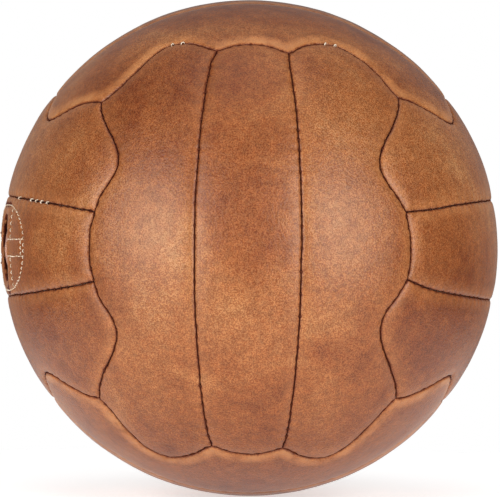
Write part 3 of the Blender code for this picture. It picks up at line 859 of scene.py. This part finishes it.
def seam_stitches(curve, seam, shown=()):
    """The stitches that cross a seam's groove; those between shown positions are outside it."""
    last = int((seam.positions[-1] - SEAM_END) / STITCH_PITCH)
    first = math.ceil((seam.positions[0] + SEAM_END) / STITCH_PITCH)
    for number in range(first, last + 1):
        position = number * STITCH_PITCH
        outside = any(low <= position <= high for low, high in shown)
        point, tangent = seam.place(position)
        across = np.cross(point, tangent)
        slant, reach, top = SHOWN_STITCH if outside else SUNK_STITCH
        path = []
        for share in np.linspace(-1, 1, STITCH_POINTS):
            depth = top + STITCH_DIVE * share ** 4 + STITCH_ROUNDING * share ** 2
            place = point + (across * reach * share + tangent * slant * share) / BALL_RADIUS
            path.append(wandered([place])[0] * (BALL_RADIUS - depth))
        add_stitch(curve, path, 1 if outside else 0)


def corner_name(corner):
    x, y, z = corner
    return "_".join((
        "top" if z > 0 else "bottom",
        "back" if y > 0 else "front",
        "right" if x > 0 else "left",
    ))


def sew(name, keys, node, threads):
    """One thread along the seams of these keys, in place of a CAD node."""
    curve = thread_curve(f"stitches_{name}", SEAM_THREAD_RADIUS, threads)
    for key in keys:
        seam_stitches(curve, SEAMS[key], SHOWN.get(key, ()))
    piece = add_object(curve.name, curve, ())
    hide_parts(node)


def make_seam_threads(threads):
    # Four threads cover the twelve cube edges: each starts at one of four alternate corners.
    for corner in ((UP, UP, UP), (UP, DOWN, DOWN), (DOWN, UP, DOWN), (DOWN, DOWN, UP)):
        name = corner_name(corner)
        corner = list(corner)
        keys = []
        for strip in range(3):
            axis = (strip + 1) % 3
            keys.append(("edge", axis, corner[(axis + 1) % 3], corner[axis]))
            corner[strip] = -corner[strip]
        sew(name, keys, f"edge_thread_{name}", threads)
    for face, axis, side in FACES:
        for across in (DOWN, UP):
            name = f"{face}_{STRIPS[axis][across]}"
            sew(name, (("strip", axis, side, across),), f"strip_thread_{name}", threads)


# Where the closing stitches show on the outside: a seam, and positions along it.
SHOWN = {
    ("strip", 2, DOWN, UP): ((-91 * MM, -71 * MM), (-55 * MM, -53 * MM)),
    ("edge", 1, UP, DOWN): ((-50 * MM, -40 * MM), (46 * MM, 58 * MM)),
}


def resampled(line, pitch):
    """Places at an even pitch along a line of points, and the pitch that fits it."""
    steps = np.linalg.norm(np.diff(line, axis=0), axis=1)
    lengths = np.concatenate(([0.0], np.cumsum(steps)))
    count = max(1, round(lengths[-1] / pitch))
    ends = np.linspace(0, lengths[-1], count + 1)
    return lambda at: np.stack([np.interp(at, lengths, line[:, k]) for k in range(2)], axis=-1), ends


def make_mouth_stitching(panel, cream):
    curve = thread_curve("mouth_stitches", MOUTH_THREAD_RADIUS, (cream,))
    for line in MOUTH_LINES:
        place_at, ends = resampled(line, MOUTH_STITCH_PITCH)
        for start, end in zip(ends, ends[1:]):
            margin = MOUTH_STITCH_MARGIN * (end - start)
            at = np.linspace(start + margin, end - margin, STITCH_POINTS)
            directions = at_mouth(place_at(at))
            surface = panel.depth(directions) + mouth_depth(directions)
            bend = np.abs(np.sin(np.linspace(0, math.pi, STITCH_POINTS))) ** MOUTH_STITCH_ARCH_SHAPE
            heights = BALL_RADIUS - surface + MOUTH_STITCH_ARCH * bend - MOUTH_STITCH_SUNK
            add_stitch(curve, wandered(directions) * heights[:, None])
    piece = add_object(curve.name, curve, ())
    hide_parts("mouth_stitching")


# ---- Materials ----

class Recipe:
    """A node material, put together one node at a time."""

    def __init__(self, name, roughness):
        self.material = bpy.data.materials.new(name)
        self.material.use_nodes = True
        self.tree = self.material.node_tree
        self.shader = self.tree.nodes["Principled BSDF"]
        self.shader.inputs["Roughness"].default_value = roughness
        self.place = self.node("TexCoord", output="Object")

    def node(self, kind, output=0, settings=None, **inputs):
        made = self.tree.nodes.new("ShaderNode" + kind)
        for key, value in (settings or {}).items():
            setattr(made, key, value)
        for key, value in inputs.items():
            self.feed(made.inputs[key], value)
        return made.outputs[output]

    def feed(self, socket, value):
        if isinstance(value, bpy.types.NodeSocket):
            self.tree.links.new(value, socket)
        else:
            socket.default_value = value

    def noise(self, size, detail=3.0, roughness=0.55, distortion=0.0):
        """Noise with features of a size in metres, about 0 to 1."""
        return self.node(
            "TexNoise", Vector=self.place, Scale=1 / size, Detail=detail,
            Roughness=roughness, Distortion=distortion)

    def cells(self, size, feature="F1"):
        return self.node(
            "TexVoronoi", Vector=self.place, Scale=1 / size, settings={"feature": feature})

    def ramp(self, value, low, high, to_low=0.0, to_high=1.0):
        """Change a value from one range to another, smoothly and with its ends held."""
        made = self.tree.nodes.new("ShaderNodeMapRange")
        made.interpolation_type = "SMOOTHSTEP"
        self.feed(made.inputs["Value"], value)
        for key, number in (
            ("From Min", low), ("From Max", high), ("To Min", to_low), ("To Max", to_high),
        ):
            made.inputs[key].default_value = number
        return made.outputs["Result"]

    def math(self, operation, first, second):
        made = self.tree.nodes.new("ShaderNodeMath")
        made.operation = operation
        self.feed(made.inputs[0], first)
        self.feed(made.inputs[1], second)
        return made.outputs[0]

    def mix(self, share, first, second, blend="MIX"):
        made = self.tree.nodes.new("ShaderNodeMix")
        made.data_type = "RGBA"
        made.blend_type = blend
        made.clamp_result = True
        self.feed(made.inputs["Factor"], share)
        colours = [socket for socket in made.inputs if socket.type == "RGBA"]
        for socket, value in zip(colours, (first, second)):
            self.feed(socket, value if isinstance(value, bpy.types.NodeSocket) else (*value, 1.0))
        return next(socket for socket in made.outputs if socket.type == "RGBA")

    def bump(self, height, distance, strength=1.0, under=None):
        made = self.tree.nodes.new("ShaderNodeBump")
        made.inputs["Strength"].default_value = strength
        made.inputs["Distance"].default_value = distance
        self.feed(made.inputs["Height"], height)
        if under:
            self.feed(made.inputs["Normal"], under)
        return made.outputs["Normal"]

    def finish(self, colour, normal=None, roughness=None):
        self.feed(self.shader.inputs["Base Color"], colour)
        if normal:
            self.feed(self.shader.inputs["Normal"], normal)
        if roughness:
            self.feed(self.shader.inputs["Roughness"], roughness)
        return self.material


TAN = (0.206, 0.0530, 0.0085)
RED_BROWN = (0.130, 0.0265, 0.0036)
PALE_TAN = (0.292, 0.105, 0.024)
# Pale gold beside the seams: wear together with a painted highlight on the turned edges.
GOLDEN_WEAR_AND_HIGHLIGHT = (0.42, 0.185, 0.068)
DARK_FLECK = (0.78, 0.66, 0.52)
# Pale flecks of the grain, partly painted glints.
LIGHT_FLECK_AND_GLINT = (1.36, 1.80, 3.1)
# Painted shade in the seams' grooves and at the slot's lip.
SEAM_PAINTED_SHADE = (0.080, 0.010, 0.001)
TONGUE_TAN = (0.26, 0.075, 0.022)
TONGUE_RED = (0.15, 0.032, 0.010)
TONGUE_PALE = (0.40, 0.19, 0.09)
# How much the leather of a pair of faces is painted pale beside its seams: partly wear, partly the
# painted highlight of the turned edges catching the light.
WEAR_AND_HIGHLIGHT = {0: ("front_and_back", 0.25), 1: ("top_and_bottom", 1.5), 2: ("side", 0.5)}


def leather(name, tan, red, pale, wear_and_highlight=0.0):
    """Full-grain leather: mottled and pebbled, with pale flecks that are partly painted glints; where
    it wears, painted shade in the seams and pale wear with a painted highlight beside them.
    """
    recipe = Recipe(name, 0.5)
    recipe.shader.inputs["IOR"].default_value = 1.40
    blotches = recipe.noise(38 * MM, detail=5.0, distortion=0.6)
    clouds = recipe.noise(11 * MM, detail=4.0, distortion=0.4)
    pale_share = recipe.ramp(blotches, 0.45, 0.75, 0.0, 0.6)
    red_share = recipe.ramp(blotches, 0.28, 0.58, 0.7, 0.0)
    tone_and_painted_light = recipe.node("Attribute", output="Fac", settings={"attribute_name": "tone_and_painted_light"})
    if wear_and_highlight:
        seam = recipe.node("Attribute", output="Fac", settings={"attribute_name": "edge_distance"})
    # Tone paints the hide paler or redder: its own tone, and painted highlights and painted shade.
    pale_share = recipe.math("ADD", pale_share, tone_and_painted_light)
    red_share = recipe.math("SUBTRACT", red_share, tone_and_painted_light)
    red_share = recipe.math("MULTIPLY", red_share, recipe.ramp(clouds, 0.25, 0.75, 0.4, 1.3))
    pale_share = recipe.math("MULTIPLY", pale_share, recipe.ramp(clouds, 0.25, 0.75, 1.2, 0.4))
    colour = recipe.mix(red_share, tan, red)
    colour = recipe.mix(pale_share, colour, pale)
    pebbles = recipe.cells(1.1 * MM, "SMOOTH_F1")
    speckle = recipe.noise(0.65 * MM, detail=2.0, roughness=0.6)
    smudges = recipe.noise(4.5 * MM, detail=3.0)
    pores = recipe.noise(0.5 * MM, detail=1.0)
    colour = recipe.mix(1.0, colour, recipe.ramp(pebbles, 0.25, 0.75, 1.08, 0.88), "MULTIPLY")
    # Dark and pale flecks of the grain; the pale ones are partly painted glints.
    colour = recipe.mix(
        recipe.ramp(speckle, 0.40, 0.60),
        recipe.mix(1.0, colour, DARK_FLECK, "MULTIPLY"),
        recipe.mix(1.0, colour, LIGHT_FLECK_AND_GLINT, "MULTIPLY"))
    colour = recipe.mix(1.0, colour, recipe.ramp(smudges, 0.30, 0.70, 0.88, 1.12), "MULTIPLY")
    gloss = recipe.ramp(speckle, 0.35, 0.65, 0.32, 0.44)
    if wear_and_highlight:
        # Pale beside the seams: partly wear, partly a painted highlight on the turned edge.
        beside = recipe.math(
            "MULTIPLY", recipe.ramp(seam, 0.5 * MM, 1.5 * MM),
            recipe.ramp(seam, 2.2 * MM, 9.0 * MM, 1.0, 0.0))
        worn_and_highlit = recipe.math("MULTIPLY", beside, recipe.ramp(clouds, 0.30, 0.70, 0.2 * wear_and_highlight, wear_and_highlight))
        colour = recipe.mix(1.0, colour, recipe.ramp(worn_and_highlit, 0.0, 1.0, 1.0, 1.35), "MULTIPLY")
        colour = recipe.mix(recipe.math("MULTIPLY", worn_and_highlit, 0.45), colour, GOLDEN_WEAR_AND_HIGHLIGHT)
        # Painted shade in the seam's groove, and round the slot's lip on the mouth panel.
        soil_and_seam_shade = recipe.ramp(seam, 0.22 * MM, 0.65 * MM, 1.0, 0.0)
        colour = recipe.mix(soil_and_seam_shade, colour, SEAM_PAINTED_SHADE)
        gloss = recipe.math("MAXIMUM", gloss, soil_and_seam_shade)
    grain = recipe.bump(pebbles, 0.20 * MM, 0.8)
    grain = recipe.bump(speckle, 0.16 * MM, 0.8, grain)
    grain = recipe.bump(pores, 0.05 * MM, 0.5, grain)
    grain = recipe.bump(smudges, 0.20 * MM, 0.35, grain)
    return recipe.finish(colour, grain, gloss)


def thread(name, light, dark):
    """Waxed thread: tight strands, darker between them."""
    recipe = Recipe(name, 0.8)
    recipe.shader.inputs["IOR"].default_value = 1.3
    strands = recipe.node(
        "TexWave", Vector=recipe.place, Scale=900.0, Distortion=2.0, Detail=1.0,
        settings={"bands_direction": "DIAGONAL"})
    soil_and_seam_shade = recipe.noise(3.0 * MM, detail=3.0)
    colour = recipe.mix(recipe.ramp(strands, 0.2, 0.8), dark, light)
    colour = recipe.mix(recipe.ramp(soil_and_seam_shade, 0.40, 0.68, 0.0, 0.85), colour, dark)
    return recipe.finish(colour, recipe.bump(strands, 0.12 * MM, 0.8))


def woven(name, light, dark, pitch):
    """Plain-woven canvas: warp and weft ribs, with slubs."""
    recipe = Recipe(name, 0.9)
    ribs = [
        recipe.node(
            "TexWave", Vector=recipe.place, Scale=0.32 / pitch, Distortion=0.6, Detail=1.0,
            settings={"bands_direction": direction})
        for direction in ("X", "Z")
    ]
    weave = recipe.math("MULTIPLY", *ribs)
    slubs = recipe.noise(4 * pitch, detail=3.0)
    colour = recipe.mix(recipe.ramp(weave, 0.05, 0.5), dark, light)
    colour = recipe.mix(recipe.ramp(slubs, 0.5, 0.8, 0.0, 0.4), colour, dark)
    return recipe.finish(colour, recipe.bump(weave, 0.25 * MM, 0.8))


def fluffy(name, light, dark):
    """Teased fibres: tangled fine noise."""
    recipe = Recipe(name, 1.0)
    fibres = recipe.noise(2.2 * MM, detail=6.0, roughness=0.7, distortion=2.5)
    tufts = recipe.noise(14 * MM, detail=3.0)
    colour = recipe.mix(recipe.ramp(fibres, 0.3, 0.7), dark, light)
    colour = recipe.mix(recipe.ramp(tufts, 0.45, 0.75, 0.0, 0.4), colour, dark)
    return recipe.finish(colour, recipe.bump(fibres, 1.0 * MM, 0.9))


def grainy(name, light, dark):
    """Dry sand: fine grains of mixed tone."""
    recipe = Recipe(name, 1.0)
    grains = recipe.cells(0.7 * MM)
    drift = recipe.noise(12 * MM, detail=3.0)
    colour = recipe.mix(recipe.ramp(grains, 0.1, 0.7), light, dark)
    colour = recipe.mix(recipe.ramp(drift, 0.45, 0.75, 0.0, 0.4), colour, dark)
    return recipe.finish(colour, recipe.bump(grains, 0.3 * MM, 0.8))


def plain_floor(name):
    """Pale studio floor, with a trace of unevenness."""
    recipe = Recipe(name, 0.7)
    patches = recipe.noise(0.6, detail=3.0)
    colour = recipe.mix(recipe.ramp(patches, 0.3, 0.7), (0.86, 0.86, 0.86), (0.90, 0.90, 0.90))
    recipe.shader.inputs["Emission Color"].default_value = (1.0, 1.0, 1.0, 1.0)
    recipe.shader.inputs["Emission Strength"].default_value = FLOOR_GLOW
    return recipe.finish(colour)


def dress_inner_nodes():
    """Give the CAD nodes inside the ball their own materials."""
    canvas = woven("cotton_canvas", (0.66, 0.57, 0.42), (0.48, 0.40, 0.28), 0.9 * MM)
    finishes = {
        "wadding": fluffy("kapok_wadding", (0.78, 0.72, 0.60), (0.55, 0.48, 0.36)),
        "weight_bag": woven("bag_cloth", (0.55, 0.50, 0.40), (0.38, 0.33, 0.25), 1.1 * MM),
        "sand_fill": grainy("dry_sand", (0.66, 0.54, 0.37), (0.40, 0.30, 0.18)),
        "bag_tie": thread("hemp_cord", (0.55, 0.42, 0.25), (0.30, 0.21, 0.11)),
    }
    for name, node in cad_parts.items():
        if name.endswith("_lining"):
            dress(node, canvas)
        for start, material in finishes.items():
            if name.startswith(start):
                dress(node, material)


def dress(node, material):
    for slot in node.material_slots:
        slot.material = material


# ---- Stage, light and camera ----

STUDIO_LIGHT = 0.14
BACKDROP_LIGHT = 0.42
BACKDROP_TOWARDS = (0.0, 0.96, 0.28)  # its middle is behind the ball and a little above
BACKDROP_STARTS = 0.45  # cosine of the angle from its middle
BACKDROP_FULL = 0.85
FLOOR_GLOW = 0.55  # the floor is a lit white disc
FLOOR_RADIUS = 0.42
FLOOR_SIDES = 96
FLOOR_GAP = 0.5 * MM
# Name, azimuth and elevation in degrees, distance, width and height in metres, and power.
SOFTBOXES = (
    ("left_softbox", -42, 9, 1.3, 0.95, 1.15, 19),
    ("right_softbox", 38, 10, 1.3, 0.85, 1.15, 18.5),
    ("top_softbox", 0, 80, 1.5, 1.20, 1.20, 5.5),
)
CAMERA_DISTANCE = 13 * BALL_RADIUS
LENS = 231.5
SENSOR_WIDTH = 36.0
CLIP_START = 0.05
CLIP_END = 100.0
CAMERA_TURN = {"Z": -0.34, "Y": 0.48, "X": 0.13}  # degrees, in this order
CAMERA_SHIFT = (0.2 * MM, -0.3 * MM)  # to the right and up


def make_stage():
    """A pale floor under the ball, and a white studio round it."""
    bpy.ops.mesh.primitive_circle_add(vertices=FLOOR_SIDES, radius=FLOOR_RADIUS, fill_type="TRIFAN")
    floor = bpy.context.object
    floor.name = "studio_floor"
    floor.location.z = cad_low.z - FLOOR_GAP
    floor.data.materials.append(plain_floor("studio_floor"))
    world = bpy.data.worlds.new("studio")
    world.use_nodes = True
    tree = world.node_tree
    sky = tree.nodes["Background"]
    sky.inputs["Color"].default_value = (1.0, 1.0, 1.0, 1.0)
    # The white backdrop is behind the ball, and the studio is dim elsewhere. The camera sees
    # plain white all round.
    place = tree.nodes.new("ShaderNodeTexCoord")
    towards = tree.nodes.new("ShaderNodeVectorMath")
    towards.operation = "DOT_PRODUCT"
    towards.inputs[1].default_value = BACKDROP_TOWARDS
    light = tree.nodes.new("ShaderNodeMapRange")
    light.interpolation_type = "SMOOTHSTEP"
    light.inputs["From Min"].default_value = BACKDROP_STARTS
    light.inputs["From Max"].default_value = BACKDROP_FULL
    light.inputs["To Min"].default_value = STUDIO_LIGHT
    light.inputs["To Max"].default_value = BACKDROP_LIGHT
    path = tree.nodes.new("ShaderNodeLightPath")
    strength = tree.nodes.new("ShaderNodeMapRange")
    strength.inputs["To Max"].default_value = 1.0
    tree.links.new(place.outputs["Generated"], towards.inputs[0])
    tree.links.new(towards.outputs["Value"], light.inputs["Value"])
    tree.links.new(light.outputs["Result"], strength.inputs["To Min"])
    tree.links.new(path.outputs["Is Camera Ray"], strength.inputs["Value"])
    tree.links.new(strength.outputs["Result"], sky.inputs["Strength"])
    bpy.context.scene.world = world


def add_softbox(name, azimuth, elevation, distance, width, height, power):
    """A soft rectangular light that looks at the ball's middle."""
    light = bpy.data.lights.new(name, "AREA")
    light.shape = "RECTANGLE"
    light.size = width
    light.size_y = height
    light.energy = power
    lamp = bpy.data.objects.new(name, light)
    bpy.context.scene.collection.objects.link(lamp)
    turn = math.radians(azimuth)
    tilt = math.radians(elevation)
    away = Vector((math.sin(turn) * math.cos(tilt), -math.cos(turn) * math.cos(tilt), math.sin(tilt)))
    lamp.location = away * distance
    lamp.rotation_mode = "QUATERNION"
    lamp.rotation_quaternion = (-away).to_track_quat("-Z", "Y")
    lamp.visible_camera = False


def make_lights():
    for softbox in SOFTBOXES:
        add_softbox(*softbox)


def make_camera():
    """A level camera in front of the ball, turned by a fraction of a degree."""
    data = bpy.data.cameras.new("camera")
    data.lens = LENS
    data.sensor_width = SENSOR_WIDTH
    data.clip_start = CLIP_START
    data.clip_end = CLIP_END
    camera = bpy.data.objects.new("camera", data)
    bpy.context.scene.collection.objects.link(camera)
    turn = Matrix.Identity(4)
    for axis, angle in CAMERA_TURN.items():
        turn @= Matrix.Rotation(math.radians(angle), 4, axis)
    aside, up = CAMERA_SHIFT
    level = Matrix.Translation((aside, -CAMERA_DISTANCE, up)) @ Matrix.Rotation(math.pi / 2, 4, "X")
    camera.matrix_world = turn.inverted() @ level
    bpy.context.scene.camera = camera


def main():
    scene = bpy.context.scene
    scene.view_settings.view_transform = "Standard"
    tan = {
        axis: leather(f"{name}_leather", TAN, RED_BROWN, PALE_TAN, wear_and_highlight)
        for axis, (name, wear_and_highlight) in WEAR_AND_HIGHLIGHT.items()
    }
    lining = leather("tongue_leather", TONGUE_TAN, TONGUE_RED, TONGUE_PALE)
    brown = thread("brown_waxed_thread", (0.13, 0.030, 0.006), (0.06, 0.012, 0.002))
    cream = thread("cream_linen_thread", (0.90, 0.80, 0.66), (0.45, 0.32, 0.21))
    for face, axis, side in FACES:
        for across, strip in STRIPS[axis].items():
            make_panel(f"{face}_{strip}", axis, side, across, tan[axis])
    u = graded(STRIP_WIDTH, MOUTH_CELL)
    v = graded(STRIP_LENGTH, MOUTH_CELL)
    make_mouth_stitching(Panel(2, DOWN, 0, u, v), cream)
    make_tongue(lining)
    make_patch(lining)
    make_seam_threads((brown, cream))
    dress_inner_nodes()
    make_stage()
    make_lights()
    make_camera()


main()
